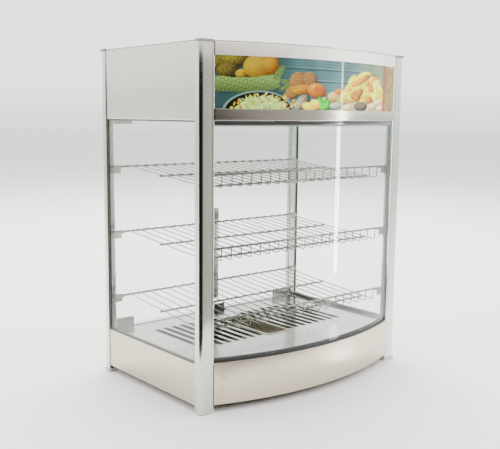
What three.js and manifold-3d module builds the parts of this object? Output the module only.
// Countertop hot food display case with a bowed glass front, three sloping wire shelves and two rear doors.
// Millimetres, +Z up, +Y to the rear, where the server stands. Left and right are seen from the front.
// Pieces are drawn with y = 0 on the front face of the front corner posts, and the whole case is then
// moved so that its origin is the middle of its outer box at floor level.

import * as THREE from "three";
import { mergeVertices } from "three/addons/utils/BufferGeometryUtils.js";
import Module from "manifold-3d";

const wasm = await Module();
wasm.setup();

// ---------------------------------------------------------------- driving dimensions

const WIDTH = 650; // over the corner posts
const DEPTH = 400; // over the corner posts
const HEIGHT = 800;
const GAP = 0.3; // between pieces that touch
const SHEET = 1.5; // thickness of the stainless sheet

const BOW_FORWARD = 57; // the curved front stands this far ahead of the posts
const BOW_RADIUS = 790;
const BOW_STEPS = 20;

const POST_DEPTH = 20;
const FRONT_POST_WIDTH = 36;
const REAR_POST_WIDTH = 22;
const POST_WALL = 2.5;
const FOOT_HEIGHT = 7;
const CAP_HEIGHT = 5.5;

const BASE_BOTTOM = 16;
const BASE_TOP = 111;
const HEADER_BOTTOM = 634;
const HEADER_TOP = 797;
const PANEL_INSET = 2; // side panels stand back from the outer face of the posts
const FLANGE = 16;

const FLOOR_Z = 104.5;
const FLOOR_SHEET = 1.2;
const SLOT_COUNT = 8; // on each side of the water pan
const SLOT_PITCH = 25;
const SLOT_INNER_X = 50;
const SLOT_WIDTH = 16;
const SLOT_FRONT = 112;
const SLOT_REAR = 318;

const PAN = {
  halfWidth: 38,
  front: 100,
  rear: 300,
  depth: 55,
  rim: 4.5,
  sheet: 1.2,
  rimCorner: 10,
  basinCorner: 6,
};

const GLASS = 4; // side glass thickness
const GLASS_X = 318; // middle plane of the side glass
const FRONT_GLASS = { inward: 6, thickness: 5 };
const DOOR_GLASS = { front: 392, thickness: 5, bottom: 109, top: 641 };
const PIVOT_X = 288;
const PIVOT_RADIUS = 3;

const SHELF_LEVELS = { bottom: 194, middle: 356, top: 518 }; // height of the rods in the clips
const SHELF_SLOPE = 0.095; // fall per mm towards the front
const WIRE = 2.6;
const ROD = 5;
const WIRE_COUNT = 20;
const WIRE_PITCH = 28.6;
const REAR_ROD_Y = 371;
const CROSS_RODS_Y = [221.5, 72];
const FRONT_ROD_Y = 29;

const CLIP = { width: 27, plate: 1.4, below: 17, above: 3, lipAbove: 1 };

const POST_INNER_FRONT = WIDTH / 2 - FRONT_POST_WIDTH;
const POST_INNER_REAR = WIDTH / 2 - REAR_POST_WIDTH;
const PANEL_X = WIDTH / 2 - PANEL_INSET;
const BOW_HALF_WIDTH = POST_INNER_FRONT - GAP;
const DOOR_MIDDLE_Y = DOOR_GLASS.front + DOOR_GLASS.thickness / 2;
const HANDLE_REAR = 425;
const CENTRE_Y = (HANDLE_REAR - BOW_FORWARD) / 2;

// ---------------------------------------------------------------- finishes

const BRUSHED_STEEL = { color: 0xd6d1c8, roughness: 0.35, metalness: 1 };
const BRIGHT_STEEL = { color: 0xdcdcd8, roughness: 0.25, metalness: 1 };
const ALUMINIUM = { color: 0xc9c8c2, roughness: 0.2, metalness: 1 };
const CHROME = { color: 0xcfcfd0, roughness: 0.12, metalness: 1 };
const CLEAR_GLASS = { color: 0xe9f2ee, roughness: 0.02, metalness: 0, transparent: true, opacity: 0.25 };
const LAMP_GLASS = { color: 0xfff2d8, roughness: 0.3, metalness: 0, emissive: 0xfff2d8 };
const PICTURE = { color: 0xb98a3e, roughness: 0.2, metalness: 0 };
const GREY_PLASTIC = { color: 0x77787a, roughness: 0.5, metalness: 0 };
const BLACK_PLASTIC = { color: 0x1b1b1c, roughness: 0.45, metalness: 0 };
const RED_PLASTIC = { color: 0xa3231b, roughness: 0.35, metalness: 0 };
const GREEN_PLASTIC = { color: 0x2c7a3a, roughness: 0.35, metalness: 0 };
const DARK_STEEL = { color: 0x6b6763, roughness: 0.5, metalness: 1 };

const displayCase = new THREE.Group();
displayCase.position.y = -CENTRE_Y;

function add(name, geometry, finish) {
  const mesh = new THREE.Mesh(geometry, new THREE.MeshStandardMaterial(finish));
  mesh.name = name;
  displayCase.add(mesh);
  return mesh;
}

// ---------------------------------------------------------------- shape helpers

// A closed mesh with its faces turned outwards, from flat lists of positions and triangle corners
function closedGeometry(positions, corners) {
  const a = new THREE.Vector3();
  const b = new THREE.Vector3();
  const c = new THREE.Vector3();
  let volume = 0;
  for (let i = 0; i < corners.length; i += 3) {
    a.fromArray(positions, 3 * corners[i]);
    b.fromArray(positions, 3 * corners[i + 1]);
    c.fromArray(positions, 3 * corners[i + 2]);
    volume += a.dot(b.cross(c));
  }
  const geometry = new THREE.BufferGeometry();
  geometry.setAttribute("position", new THREE.Float32BufferAttribute(positions, 3));
  geometry.setIndex(volume < 0 ? corners.slice().reverse() : corners);
  geometry.computeVertexNormals();
  return geometry;
}

function toManifold(geometry) {
  const bare = geometry.clone();
  bare.deleteAttribute("normal");
  bare.deleteAttribute("uv");
  const merged = mergeVertices(bare, 1e-4);
  const mesh = new wasm.Mesh({
    numProp: 3,
    vertProperties: Float32Array.from(merged.getAttribute("position").array),
    triVerts: Uint32Array.from(merged.getIndex().array),
  });
  return new wasm.Manifold(mesh);
}

function fromManifold(solid) {
  const mesh = solid.getMesh();
  return closedGeometry(Array.from(mesh.vertProperties), Array.from(mesh.triVerts));
}

function join(geometries) {
  const solids = geometries.map(toManifold);
  return fromManifold(solids.reduce((whole, solid) => whole.add(solid)));
}

function cut(geometry, tools) {
  const solids = tools.map(toManifold);
  return fromManifold(solids.reduce((whole, solid) => whole.subtract(solid), toManifold(geometry)));
}

function box(low, high) {
  const size = high.map((value, axis) => value - low[axis]);
  const middle = high.map((value, axis) => (value + low[axis]) / 2);
  return new THREE.BoxGeometry(...size).translate(...middle);
}

// A box given by distances from the middle plane, on the left (side -1) or the right (side 1)
function sideBox(side, inner, outer, front, rear, low, high) {
  const ends = [side * inner, side * outer].sort((a, b) => a - b);
  return box([ends[0], front, low], [ends[1], rear, high]);
}

function shapeOf(points) {
  return new THREE.Shape(points.map(([x, y]) => new THREE.Vector2(x, y)));
}

// An outline seen from above, [x, y], standing from one height to another
function upright(shape, low, high) {
  const options = { depth: high - low, bevelEnabled: false, curveSegments: 4 };
  return new THREE.ExtrudeGeometry(shape, options).translate(0, 0, low);
}

// An outline seen from the side, [y, z], running along X
function alongX(points, from, to) {
  const geometry = new THREE.ExtrudeGeometry(shapeOf(points), { depth: to - from, bevelEnabled: false });
  const turn = new THREE.Matrix4().set(0, 0, 1, from, 1, 0, 0, 0, 0, 1, 0, 0, 0, 0, 0, 1);
  return geometry.applyMatrix4(turn);
}

// An outline seen from the front, [x, z], running along Y
function alongY(points, from, to) {
  const geometry = new THREE.ExtrudeGeometry(shapeOf(points), { depth: to - from, bevelEnabled: false });
  const turn = new THREE.Matrix4().set(1, 0, 0, 0, 0, 0, -1, to, 0, 1, 0, 0, 0, 0, 0, 1);
  return geometry.applyMatrix4(turn);
}

// A round piece about an axis along Y; the profile holds [radius, y] corners
function turnedAlongY(profile, x, z, sides = 16) {
  const points = profile.map(([radius, y]) => new THREE.Vector2(radius, y));
  return new THREE.LatheGeometry(points, sides).translate(x, 0, z);
}

function uprightPin(x, y, radius, low, high) {
  return new THREE.CylinderGeometry(radius, radius, high - low, 12)
    .rotateX(Math.PI / 2)
    .translate(x, y, (low + high) / 2);
}

function roundedRectangle(left, right, front, rear, radius) {
  const path = new THREE.Shape();
  path.moveTo(left + radius, front);
  path.lineTo(right - radius, front);
  path.absarc(right - radius, front + radius, radius, -Math.PI / 2, 0, false);
  path.lineTo(right, rear - radius);
  path.absarc(right - radius, rear - radius, radius, 0, Math.PI / 2, false);
  path.lineTo(left + radius, rear);
  path.absarc(left + radius, rear - radius, radius, Math.PI / 2, Math.PI, false);
  path.lineTo(left, front + radius);
  path.absarc(left + radius, front + radius, radius, Math.PI, 1.5 * Math.PI, false);
  return path;
}

// ---------------------------------------------------------------- the bowed front

// y of the bow, a given distance inward of its outer skin
function bowY(x, inward) {
  return BOW_RADIUS - BOW_FORWARD - Math.sqrt((BOW_RADIUS - inward) ** 2 - x * x);
}

// A closed profile of [inward, z] corners carried along the bow between the front posts
function alongBow(profile, halfWidth) {
  const count = profile.length;
  const last = BOW_STEPS * count;
  const positions = [];
  const corners = [];
  for (let step = 0; step <= BOW_STEPS; step++) {
    const x = halfWidth * ((2 * step) / BOW_STEPS - 1);
    for (const [inward, z] of profile) positions.push(x, bowY(x, inward), z);
  }
  for (let first = 0; first < last; first += count) {
    for (let corner = 0; corner < count; corner++) {
      const a = first + corner;
      const b = first + ((corner + 1) % count);
      corners.push(a, b, a + count, b, b + count, a + count);
    }
  }
  const outline = profile.map(([inward, z]) => new THREE.Vector2(inward, z));
  const outlineArea = THREE.ShapeUtils.area(outline);
  for (const face of THREE.ShapeUtils.triangulateShape(outline, [])) {
    const area = THREE.ShapeUtils.area(face.map((corner) => outline[corner]));
    const [a, b, c] = area * outlineArea > 0 ? face : face.slice().reverse();
    corners.push(c, b, a, last + a, last + b, last + c);
  }
  return closedGeometry(positions, corners);
}

// The plan of a floor, ceiling or roof: bowed in front and notched round the four corner posts
function casePlan({ side, inward, rear, notch = 0.5, inset = 0 }) {
  const frontNotch = POST_INNER_FRONT - notch - inset;
  const rearNotch = POST_INNER_REAR - notch - inset;
  const edge = side - inset;
  const points = [];
  for (let step = 0; step <= BOW_STEPS; step++) {
    const x = frontNotch * ((2 * step) / BOW_STEPS - 1);
    points.push([x, bowY(x, inward + inset)]);
  }
  points.push([frontNotch, POST_DEPTH + notch + inset], [edge, POST_DEPTH + notch + inset]);
  const rearPostFront = DEPTH - POST_DEPTH - notch - inset;
  points.push([edge, Math.min(rearPostFront, rear - inset)]);
  if (rear - inset > rearPostFront) {
    points.push([rearNotch, rearPostFront], [rearNotch, rear - inset]);
    points.push([-rearNotch, rear - inset], [-rearNotch, rearPostFront]);
  }
  points.push([-edge, Math.min(rearPostFront, rear - inset)]);
  points.push([-edge, POST_DEPTH + notch + inset], [-frontNotch, POST_DEPTH + notch + inset]);
  return shapeOf(points);
}

// ---------------------------------------------------------------- corner posts, caps and feet

// Hollow extrusion with a rounded outer corner, a decorative groove and a slot for the side glass
function postGeometry(side, width, outerY, innerY) {
  const towardsInside = Math.sign(innerY - outerY);
  const at = (fromOuter, fromFace) => [side * (WIDTH / 2 - fromOuter), outerY + towardsInside * fromFace];
  const cornerRadius = 8;
  const slotNear = WIDTH / 2 - GLASS_X - GLASS / 2 - GAP;
  const slotFar = slotNear + GLASS + 2 * GAP;
  const slotDepth = 8;
  const grooveAt = width - 6;
  const outline = [];
  for (let step = 0; step <= 4; step++) {
    const angle = (step / 4) * (Math.PI / 2);
    outline.push(at(cornerRadius * (1 - Math.sin(angle)), cornerRadius * (1 - Math.cos(angle))));
  }
  outline.push(at(0, POST_DEPTH), at(slotNear, POST_DEPTH), at(slotNear, POST_DEPTH - slotDepth));
  outline.push(at(slotFar, POST_DEPTH - slotDepth), at(slotFar, POST_DEPTH), at(width, POST_DEPTH));
  outline.push(at(width, 0), at(grooveAt + 1, 0), at(grooveAt + 1, 1), at(grooveAt, 1), at(grooveAt, 0));
  const shape = shapeOf(outline);
  const hollowNear = slotFar + POST_WALL;
  const hollow = [
    at(hollowNear, POST_WALL),
    at(width - POST_WALL, POST_WALL),
    at(width - POST_WALL, POST_DEPTH - POST_WALL),
    at(hollowNear, POST_DEPTH - POST_WALL),
  ];
  shape.holes.push(new THREE.Path(hollow.map(([x, y]) => new THREE.Vector2(x, y))));
  return upright(shape, FOOT_HEIGHT + GAP, HEIGHT - CAP_HEIGHT - GAP);
}

// The plug that holds a cap or a foot in the hollow of its post
function plug(side, width, front, rear, low, high) {
  const clearance = 0.5;
  const inner = WIDTH / 2 - width + POST_WALL + clearance;
  const outer = GLASS_X - GLASS / 2 - GAP - POST_WALL - clearance;
  return sideBox(side, inner, outer, front + POST_WALL + clearance, rear - POST_WALL - clearance, low, high);
}

function footGeometry(side, width, front, rear) {
  const proud = 2;
  const inner = WIDTH / 2 - width - proud;
  const pad = sideBox(side, inner, WIDTH / 2 + proud, front - proud, rear + proud, 0, FOOT_HEIGHT);
  return join([pad, plug(side, width, front, rear, FOOT_HEIGHT - 1, FOOT_HEIGHT + 10)]);
}

function capGeometry(side, width, front, rear, atFront) {
  const proud = 1.5;
  const inner = WIDTH / 2 - width + GAP;
  const low = HEIGHT - CAP_HEIGHT;
  const capFront = atFront ? front - proud : front + GAP;
  const capRear = atFront ? rear - GAP : rear + proud;
  const lid = sideBox(side, inner, WIDTH / 2 + proud, capFront, capRear, low, HEIGHT);
  return join([lid, plug(side, width, front, rear, low - 10, low + 1)]);
}

function addCorner(row, hand) {
  const side = hand === "left" ? -1 : 1;
  const atFront = row === "front";
  const width = atFront ? FRONT_POST_WIDTH : REAR_POST_WIDTH;
  const front = atFront ? 0 : DEPTH - POST_DEPTH;
  const rear = front + POST_DEPTH;
  const post = atFront ? postGeometry(side, width, front, rear) : postGeometry(side, width, rear, front);
  add(`post_${row}_${hand}`, post, ALUMINIUM);
  add(`foot_${row}_${hand}`, footGeometry(side, width, front, rear), GREY_PLASTIC);
  add(`post_cap_${row}_${hand}`, capGeometry(side, width, front, rear, atFront), GREY_PLASTIC);
}

// ---------------------------------------------------------------- folded sheet panels

// C section between two posts: a wall with a flange turned in at its top and its bottom
function sidePanelGeometry(side, low, high, topFlange, bottomFlange) {
  const outline = [
    [PANEL_X, low],
    [PANEL_X, high],
    [PANEL_X - topFlange, high],
    [PANEL_X - topFlange, high - SHEET],
    [PANEL_X - SHEET, high - SHEET],
    [PANEL_X - SHEET, low + SHEET],
    [PANEL_X - bottomFlange, low + SHEET],
    [PANEL_X - bottomFlange, low],
  ];
  const mirrored = outline.map(([x, z]) => [side * x, z]);
  return alongY(mirrored, POST_DEPTH + GAP, DEPTH - POST_DEPTH - GAP);
}

function bowedPanelProfile(low, high) {
  const shelf = 13.5;
  return [
    [0, low],
    [0, high],
    [shelf, high],
    [shelf, high - SHEET],
    [SHEET, high - SHEET],
    [SHEET, low + SHEET],
    [FLANGE, low + SHEET],
    [FLANGE, low],
  ];
}

const REAR_WALL = { inner: 397, outer: 398.5, flangeFront: 385, halfWidth: POST_INNER_REAR - 0.5 };

function pivotHoles(low, high) {
  return [-PIVOT_X, PIVOT_X].map((x) => uprightPin(x, DOOR_MIDDLE_Y, PIVOT_RADIUS + 0.5, low, high));
}

const KNOB = { x: 120, z: 60, radius: 19 };
const GLAND = { x: -240, z: 56 };
const SWITCH = { x: 205, z: 60, halfWidth: 25, halfHeight: 13 };

function baseRearPanelGeometry() {
  const top = FLOOR_Z + 0.5;
  const outline = [
    [REAR_WALL.outer, BASE_BOTTOM],
    [REAR_WALL.outer, top],
    [REAR_WALL.flangeFront, top],
    [REAR_WALL.flangeFront, top - SHEET],
    [REAR_WALL.inner, top - SHEET],
    [REAR_WALL.inner, BASE_BOTTOM + SHEET],
    [REAR_WALL.flangeFront, BASE_BOTTOM + SHEET],
    [REAR_WALL.flangeFront, BASE_BOTTOM],
  ];
  const sheet = alongX(outline, -REAR_WALL.halfWidth, REAR_WALL.halfWidth);
  const through = (radius) => [
    [0, REAR_WALL.inner - 5],
    [radius, REAR_WALL.inner - 5],
    [radius, REAR_WALL.outer + 5],
    [0, REAR_WALL.outer + 5],
  ];
  const switchCut = box(
    [SWITCH.x - SWITCH.halfWidth - GAP, REAR_WALL.inner - 5, SWITCH.z - SWITCH.halfHeight - GAP],
    [SWITCH.x + SWITCH.halfWidth + GAP, REAR_WALL.outer + 5, SWITCH.z + SWITCH.halfHeight + GAP],
  );
  return cut(sheet, [
    turnedAlongY(through(4), KNOB.x, KNOB.z),
    turnedAlongY(through(8), GLAND.x, GLAND.z),
    switchCut,
    ...pivotHoles(top - 5, top + 5),
  ]);
}

function roofGeometry() {
  const top = HEADER_TOP + GAP + FLOOR_SHEET;
  const low = HEADER_TOP + GAP;
  const flangeLow = DOOR_GLASS.top + 3.5;
  const roof = upright(casePlan({ side: PANEL_X, inward: 0.5, rear: REAR_WALL.outer, notch: 2.2 }), low, top);
  const wallHalf = REAR_WALL.halfWidth - 1.7;
  const wall = box([-wallHalf, REAR_WALL.inner, flangeLow], [wallHalf, REAR_WALL.outer, top - 0.4]);
  const flange = box(
    [-wallHalf, REAR_WALL.flangeFront, flangeLow],
    [wallHalf, REAR_WALL.inner + 1, flangeLow + SHEET],
  );
  return cut(join([roof, wall, flange]), pivotHoles(flangeLow - 5, flangeLow + 5));
}

// A shallow tray that rests on the lower flanges of the header
const CEILING = { low: HEADER_BOTTOM + SHEET + GAP, rim: 12, side: 315.5, inward: 3.5, rear: 379.5 };

function ceilingGeometry() {
  const plan = { side: CEILING.side, inward: CEILING.inward, rear: CEILING.rear };
  const block = upright(casePlan(plan), CEILING.low, CEILING.low + CEILING.rim);
  const inset = FLOOR_SHEET;
  const hollowLow = CEILING.low + FLOOR_SHEET;
  const hollow = upright(casePlan({ ...plan, inset }), hollowLow, CEILING.low + CEILING.rim + 1);
  const lampWindow = box([-190, 60, CEILING.low - 1], [190, 130, CEILING.low + 5]);
  return cut(block, [hollow, lampWindow]);
}

function floorGeometry() {
  const plan = casePlan({ side: PANEL_X - SHEET - 0.5, inward: SHEET + 0.5, rear: 384 });
  for (const side of [-1, 1]) {
    for (let slot = 0; slot < SLOT_COUNT; slot++) {
      const x = side * (SLOT_INNER_X + slot * SLOT_PITCH);
      const half = SLOT_WIDTH / 2;
      plan.holes.push(roundedRectangle(x - half, x + half, SLOT_FRONT, SLOT_REAR, half - 0.5));
    }
  }
  const basin = PAN.halfWidth - PAN.rim + GAP;
  const basinFront = PAN.front + PAN.rim - GAP;
  const basinRear = PAN.rear - PAN.rim + GAP;
  plan.holes.push(roundedRectangle(-basin, basin, basinFront, basinRear, PAN.basinCorner));
  const options = { depth: FLOOR_SHEET, bevelEnabled: false, curveSegments: 2 };
  return new THREE.ExtrudeGeometry(plan, options).translate(0, 0, FLOOR_Z);
}

function waterPanGeometry() {
  const rimLow = FLOOR_Z + FLOOR_SHEET + GAP;
  const rimTop = rimLow + PAN.sheet;
  const outline = (inset, corner) => {
    const halfWidth = PAN.halfWidth - inset;
    return roundedRectangle(-halfWidth, halfWidth, PAN.front + inset, PAN.rear - inset, corner);
  };
  const rim = upright(outline(0, PAN.rimCorner), rimLow, rimTop);
  const basin = upright(outline(PAN.rim, PAN.basinCorner), rimTop - PAN.depth, rimTop - 0.2);
  const insideOutline = outline(PAN.rim + PAN.sheet, PAN.basinCorner);
  const inside = upright(insideOutline, rimTop - PAN.depth + PAN.sheet, rimTop + 1);
  return cut(join([rim, basin]), [inside]);
}

// Tubular heater under the floor, bent round the water pan
function heaterGeometry() {
  const radius = 4;
  const z = 78;
  const side = 150;
  const front = 62;
  const rear = 372;
  const bend = 45;
  const at = (x, y) => new THREE.Vector3(x, y, z);
  const straight = (from, to) => new THREE.LineCurve3(from, to);
  const bent = (from, corner, to) => new THREE.QuadraticBezierCurve3(from, corner, to);
  const path = new THREE.CurvePath();
  path.add(straight(at(-side, rear), at(-side, front + bend)));
  path.add(bent(at(-side, front + bend), at(-side, front), at(bend - side, front)));
  path.add(straight(at(bend - side, front), at(side - bend, front)));
  path.add(bent(at(side - bend, front), at(side, front), at(side, front + bend)));
  path.add(straight(at(side, front + bend), at(side, rear)));
  const section = new THREE.Shape().absarc(0, 0, radius, 0, 2 * Math.PI, false);
  const options = { steps: 40, extrudePath: path, curveSegments: 3, bevelEnabled: false };
  return new THREE.ExtrudeGeometry(section, options);
}

// ---------------------------------------------------------------- header front

const PICTURE_PANEL = { low: 659, high: 769, inward: 2, thickness: 3, behind: 6.5 };

function topRailProfile() {
  return [
    [0, PICTURE_PANEL.high],
    [0, HEADER_TOP],
    [FLANGE, HEADER_TOP],
    [FLANGE, HEADER_TOP - SHEET],
    [SHEET, HEADER_TOP - SHEET],
    [SHEET, PICTURE_PANEL.high],
  ];
}

// The lower rail ends in a rolled bead, which holds the top edge of the front glass
function bottomRailProfile() {
  const lip = HEADER_BOTTOM - 0.8;
  const bead = { inward: 6.5, z: HEADER_BOTTOM - 5.4, radius: 5 };
  const reach = Math.acos((lip - bead.z) / bead.radius);
  const profile = [
    [0, PICTURE_PANEL.low],
    [0, lip],
  ];
  const sides = 9;
  for (let step = 0; step <= sides; step++) {
    const angle = reach + (step / sides) * (2 * Math.PI - 2 * reach);
    profile.push([bead.inward - bead.radius * Math.sin(angle), bead.z + bead.radius * Math.cos(angle)]);
  }
  profile.push([9.8, lip], [9.8, lip + SHEET], [SHEET, lip + SHEET], [SHEET, PICTURE_PANEL.low]);
  return profile;
}

function rectangleProfile(inward, thickness, low, high) {
  return [
    [inward, low],
    [inward, high],
    [inward + thickness, high],
    [inward + thickness, low],
  ];
}

function addHeaderFront() {
  const picture = PICTURE_PANEL;
  add("header_top_rail", alongBow(topRailProfile(), BOW_HALF_WIDTH), BRUSHED_STEEL);
  add("header_bottom_rail", alongBow(bottomRailProfile(), BOW_HALF_WIDTH), BRIGHT_STEEL);
  const profile = rectangleProfile(
    picture.inward,
    picture.thickness,
    picture.low - picture.behind,
    picture.high + picture.behind,
  );
  add("graphic_panel", alongBow(profile, BOW_HALF_WIDTH), PICTURE);
}

function lampGeometry() {
  const radius = 8;
  const half = 200;
  const profile = [
    [0, -half],
    [5, -half],
    [5, 10 - half],
    [radius, 12 - half],
    [radius, half - 12],
    [5, half - 10],
    [5, half],
    [0, half],
  ];
  const points = profile.map(([r, along]) => new THREE.Vector2(r, along));
  return new THREE.LatheGeometry(points, 10).rotateZ(Math.PI / 2).translate(0, 95, 652);
}

// ---------------------------------------------------------------- glass

function addFixedGlass() {
  const low = BASE_TOP + 1.2;
  const frontTop = HEADER_BOTTOM - 10.8;
  const frontProfile = rectangleProfile(FRONT_GLASS.inward, FRONT_GLASS.thickness, low + 1, frontTop);
  add("front_glass", alongBow(frontProfile, BOW_HALF_WIDTH), CLEAR_GLASS);
  for (const [hand, side] of [["left", -1], ["right", 1]]) {
    const slot = POST_DEPTH - 7.5;
    const inner = GLASS_X - GLASS / 2;
    const pane = sideBox(side, inner, inner + GLASS, slot, DEPTH - slot, low, HEADER_BOTTOM - 1.5);
    add(`${hand}_glass`, pane, CLEAR_GLASS);
  }
}

// Pivot clamp: a channel gripping the corner of the door glass, with a pin into the sheet above or below
function doorClampGeometry(side, atTop) {
  const inner = 246;
  const outer = 299;
  const plate = 3.2;
  const web = 1.5;
  const height = 20;
  const edge = atTop ? DOOR_GLASS.top + GAP : DOOR_GLASS.bottom - GAP;
  const up = atTop ? -1 : 1;
  const front = DOOR_GLASS.front - GAP;
  const rear = DOOR_GLASS.front + DOOR_GLASS.thickness + GAP;
  const heights = (a, b) => [a, b].sort((p, q) => p - q);
  const blockEnds = heights(edge - up * web, edge + up * height);
  const slotEnds = heights(edge, edge + up * (height + 1));
  const pinEnds = heights(edge - up * (web - 0.5), edge - up * (web + 6));
  const block = sideBox(side, inner, outer, front - plate, rear + plate, ...blockEnds);
  const slot = sideBox(side, inner - 1, outer + 2, front, rear, ...slotEnds);
  const pin = uprightPin(side * PIVOT_X, DOOR_MIDDLE_Y, PIVOT_RADIUS, ...pinEnds);
  return join([cut(block, [slot]), pin]);
}

// Pull profile: a flat flange bonded to the glass, with a lip to hook the fingers behind and a small bead
function doorHandleGeometry(side) {
  const face = DOOR_GLASS.front + DOOR_GLASS.thickness + GAP;
  const pull = { inner: 20, outer: 38, flange: 2, lip: 2.4, bead: 4, beadDepth: 3, low: 136, high: 391 };
  const outline = [
    [pull.inner, face],
    [pull.outer - 1, face],
    [pull.outer, face + 1],
    [pull.outer, face + pull.flange],
    [pull.inner + pull.lip, face + pull.flange],
    [pull.inner + pull.lip, HANDLE_REAR - pull.beadDepth],
    [pull.inner + pull.bead, HANDLE_REAR - pull.beadDepth + 1],
    [pull.inner + pull.bead, HANDLE_REAR - 1],
    [pull.inner + pull.bead - 1, HANDLE_REAR],
    [pull.inner + 1, HANDLE_REAR],
    [pull.inner, HANDLE_REAR - 1],
  ];
  return upright(shapeOf(outline.map(([x, y]) => [side * x, y])), pull.low, pull.high);
}

function addDoor(hand, side) {
  const rear = DOOR_GLASS.front + DOOR_GLASS.thickness;
  const pane = sideBox(side, 1.5, 300, DOOR_GLASS.front, rear, DOOR_GLASS.bottom, DOOR_GLASS.top);
  add(`${hand}_door_glass`, pane, CLEAR_GLASS);
  add(`${hand}_door_handle`, doorHandleGeometry(side), ALUMINIUM);
  add(`${hand}_door_top_clamp`, doorClampGeometry(side, true), BRIGHT_STEEL);
  add(`${hand}_door_bottom_clamp`, doorClampGeometry(side, false), BRIGHT_STEEL);
}

// Twin magnetic catch standing on the floor behind the meeting edges of the doors
function doorCatchGeometry() {
  const low = FLOOR_Z + FLOOR_SHEET + GAP;
  const plate = box([-46, 372, low], [46, 383.5, low + 3]);
  const magnets = [-26, 26].map((x) => box([x - 17, 373, low + 2], [x + 17, 383.5, low + 18]));
  return join([plate, ...magnets]);
}

// ---------------------------------------------------------------- wire shelves and their clips

// The outline of a strip that follows a line of points, half its width to each side of the line
function stripOutline(line, width) {
  const left = [];
  const right = [];
  line.forEach((point, i) => {
    const before = line[Math.max(i - 1, 0)];
    const after = line[Math.min(i + 1, line.length - 1)];
    const along = after.clone().sub(before).normalize();
    const across = new THREE.Vector2(-along.y, along.x).multiplyScalar(width / 2);
    left.push([point.x + across.x, point.y + across.y]);
    right.push([point.x - across.x, point.y - across.y]);
  });
  return [...left, ...right.reverse()];
}

function wireHeight(y) {
  return (ROD + WIRE) / 2 - 0.8 - SHELF_SLOPE * (REAR_ROD_Y - y);
}

// One wire runs down to the front, turns up and ends on the back of the front rod
function shelfWireLine() {
  const upY = FRONT_ROD_Y + (ROD + WIRE) / 2 - 0.8;
  const bend = 7;
  const rearEnd = REAR_ROD_Y + 2;
  const path = new THREE.Path();
  path.moveTo(rearEnd, wireHeight(rearEnd));
  path.lineTo(upY + bend, wireHeight(upY + bend));
  path.quadraticCurveTo(upY, wireHeight(upY), upY, wireHeight(upY) + bend);
  path.lineTo(upY, 1.5);
  return path.getPoints(3);
}

function rod(y, z, halfLength) {
  const half = ROD / 2;
  return box([-halfLength, y - half, z - half], [halfLength, y + half, z + half]);
}

function shelfGeometry() {
  const outline = stripOutline(shelfWireLine(), WIRE);
  const edgeX = ((WIRE_COUNT - 1) / 2) * WIRE_PITCH;
  const pieces = [rod(REAR_ROD_Y, 0, 308), rod(FRONT_ROD_Y, 0, 293)];
  for (const y of CROSS_RODS_Y) pieces.push(rod(y, wireHeight(y) - (ROD + WIRE) / 2 + 0.8, edgeX + 6));
  for (let wire = 0; wire < WIRE_COUNT; wire++) {
    const x = wire * WIRE_PITCH - edgeX;
    pieces.push(alongX(outline, x - WIRE / 2, x + WIRE / 2));
  }
  return join(pieces);
}

// Bent sheet clip screwed to a post, with an open channel that the shelf rod drops into
function clipGeometry(side, atFront, rodZ) {
  const face = atFront ? POST_DEPTH : DEPTH - POST_DEPTH;
  const away = atFront ? 1 : -1;
  const rodY = atFront ? FRONT_ROD_Y : REAR_ROD_Y;
  const back = face + away * GAP;
  const lip = rodY + away * (ROD / 2 + 0.7);
  const ledge = rodZ - ROD / 2 - GAP;
  const outline = [
    [back, rodZ - CLIP.below],
    [back, rodZ + CLIP.above],
    [back + away * CLIP.plate, rodZ + CLIP.above],
    [back + away * CLIP.plate, ledge],
    [lip, ledge],
    [lip, rodZ + CLIP.lipAbove],
    [lip + away * CLIP.plate, rodZ + CLIP.lipAbove],
    [lip + away * CLIP.plate, ledge - CLIP.plate],
    [back + away * CLIP.plate, ledge - CLIP.plate],
    [back + away * CLIP.plate, rodZ - CLIP.below],
  ];
  const inner = atFront ? 275 : 286;
  const ends = [side * inner, side * (inner + CLIP.width)].sort((a, b) => a - b);
  return alongX(outline, ...ends);
}

function addShelf(level) {
  const rodZ = SHELF_LEVELS[level];
  add(`${level}_shelf`, shelfGeometry(), CHROME).position.z = rodZ;
  for (const row of ["front", "rear"]) {
    for (const [hand, side] of [["left", -1], ["right", 1]]) {
      const clip = clipGeometry(side, row === "front", rodZ);
      add(`${level}_shelf_clip_${row}_${hand}`, clip, BRIGHT_STEEL);
    }
  }
}

// ---------------------------------------------------------------- controls on the rear of the base

function knobGeometry() {
  const face = REAR_WALL.outer + 0.6;
  const profile = [
    [0, face - 8],
    [3, face - 8],
    [3, face],
    [KNOB.radius, face],
    [KNOB.radius, face + 5],
    [KNOB.radius - 4, face + 7],
    [KNOB.radius - 5, face + 17],
    [0, face + 17],
  ];
  const grip = box([KNOB.x - 3, face + 10, KNOB.z - 17], [KNOB.x + 3, face + 19, KNOB.z + 17]);
  return join([turnedAlongY(profile, KNOB.x, KNOB.z, 20), grip]);
}

const ROCKER = { halfWidth: 9.5, halfHeight: 9.6, pivotY: 394.5, tilt: 8 };

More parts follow.
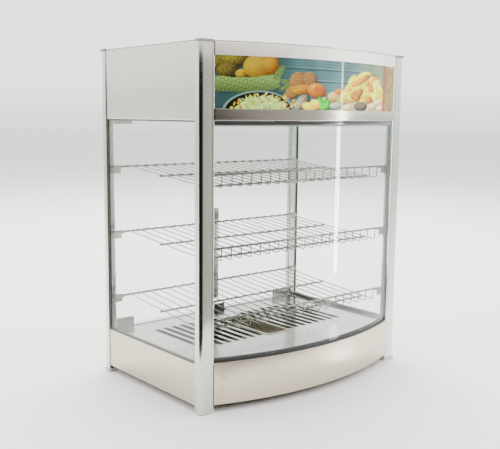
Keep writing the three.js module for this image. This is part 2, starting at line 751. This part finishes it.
function switchHousingGeometry() {
  const face = REAR_WALL.outer + GAP;
  const bezel = box(
    [SWITCH.x - SWITCH.halfWidth - 3, face, SWITCH.z - SWITCH.halfHeight - 3],
    [SWITCH.x + SWITCH.halfWidth + 3, face + 2, SWITCH.z + SWITCH.halfHeight + 3],
  );
  const body = box(
    [SWITCH.x - SWITCH.halfWidth, face - 26, SWITCH.z - SWITCH.halfHeight],
    [SWITCH.x + SWITCH.halfWidth, face + 1, SWITCH.z + SWITCH.halfHeight],
  );
  const pockets = [-1, 1].map((side) => {
    const x = SWITCH.x + side * 12;
    return box(
      [x - ROCKER.halfWidth - 0.8, face - 14, SWITCH.z - ROCKER.halfHeight - 2.2],
      [x + ROCKER.halfWidth + 0.8, face + 3, SWITCH.z + ROCKER.halfHeight + 2.2],
    );
  });
  return cut(join([bezel, body]), pockets);
}

// A rocker drawn level about its pivot, then tipped to its off position
function addRocker(name, x, finish) {
  const h = ROCKER.halfHeight;
  const outline = [
    [-5, -h],
    [5, -h],
    [8, -h * 0.9],
    [6.2, 0],
    [8, h * 0.9],
    [5, h],
    [-5, h],
  ];
  const rocker = add(name, alongX(outline, -ROCKER.halfWidth, ROCKER.halfWidth), finish);
  rocker.position.set(x, ROCKER.pivotY, SWITCH.z);
  rocker.rotation.x = THREE.MathUtils.degToRad(-ROCKER.tilt);
}

function glandGeometry() {
  const face = REAR_WALL.outer + GAP;
  const profile = [
    [4, face - 9],
    [7.6, face - 9],
    [7.6, face],
    [12, face],
    [12, face + 6],
    [9, face + 8],
    [7, face + 15],
    [4, face + 15],
    [4, face - 9],
  ];
  return turnedAlongY(profile, GLAND.x, GLAND.z, 12);
}

// ---------------------------------------------------------------- assembly

for (const row of ["front", "rear"]) for (const hand of ["left", "right"]) addCorner(row, hand);

add("base_front_panel", alongBow(bowedPanelProfile(BASE_BOTTOM, BASE_TOP), BOW_HALF_WIDTH), BRUSHED_STEEL);
add("base_left_panel", sidePanelGeometry(-1, BASE_BOTTOM, BASE_TOP, 9, FLANGE), BRUSHED_STEEL);
add("base_right_panel", sidePanelGeometry(1, BASE_BOTTOM, BASE_TOP, 9, FLANGE), BRUSHED_STEEL);
add("base_rear_panel", baseRearPanelGeometry(), BRUSHED_STEEL);
const bottomPlan = casePlan({ side: PANEL_X - SHEET - 0.5, inward: SHEET + 0.5, rear: 384 });
const bottomLow = BASE_BOTTOM + SHEET + GAP;
add("base_bottom_plate", upright(bottomPlan, bottomLow, bottomLow + FLOOR_SHEET), BRUSHED_STEEL);
add("floor_plate", floorGeometry(), BRIGHT_STEEL);
add("water_pan", waterPanGeometry(), BRIGHT_STEEL);
add("heating_element", heaterGeometry(), DARK_STEEL);

add("header_left_panel", sidePanelGeometry(-1, HEADER_BOTTOM, HEADER_TOP, FLANGE, 9), BRUSHED_STEEL);
add("header_right_panel", sidePanelGeometry(1, HEADER_BOTTOM, HEADER_TOP, FLANGE, 9), BRUSHED_STEEL);
add("roof_panel", roofGeometry(), BRUSHED_STEEL);
add("ceiling_panel", ceilingGeometry(), BRIGHT_STEEL);
add("lamp_tube", lampGeometry(), LAMP_GLASS);
addHeaderFront();

addFixedGlass();
addDoor("left", -1);
addDoor("right", 1);
add("door_catch", doorCatchGeometry(), BLACK_PLASTIC);

for (const level of Object.keys(SHELF_LEVELS)) addShelf(level);

add("thermostat_knob", knobGeometry(), BLACK_PLASTIC);
add("switch_housing", switchHousingGeometry(), BLACK_PLASTIC);
addRocker("heater_switch_rocker", SWITCH.x - 12, RED_PLASTIC);
addRocker("light_switch_rocker", SWITCH.x + 12, GREEN_PLASTIC);
add("cable_gland", glandGeometry(), BLACK_PLASTIC);

export default displayCase;
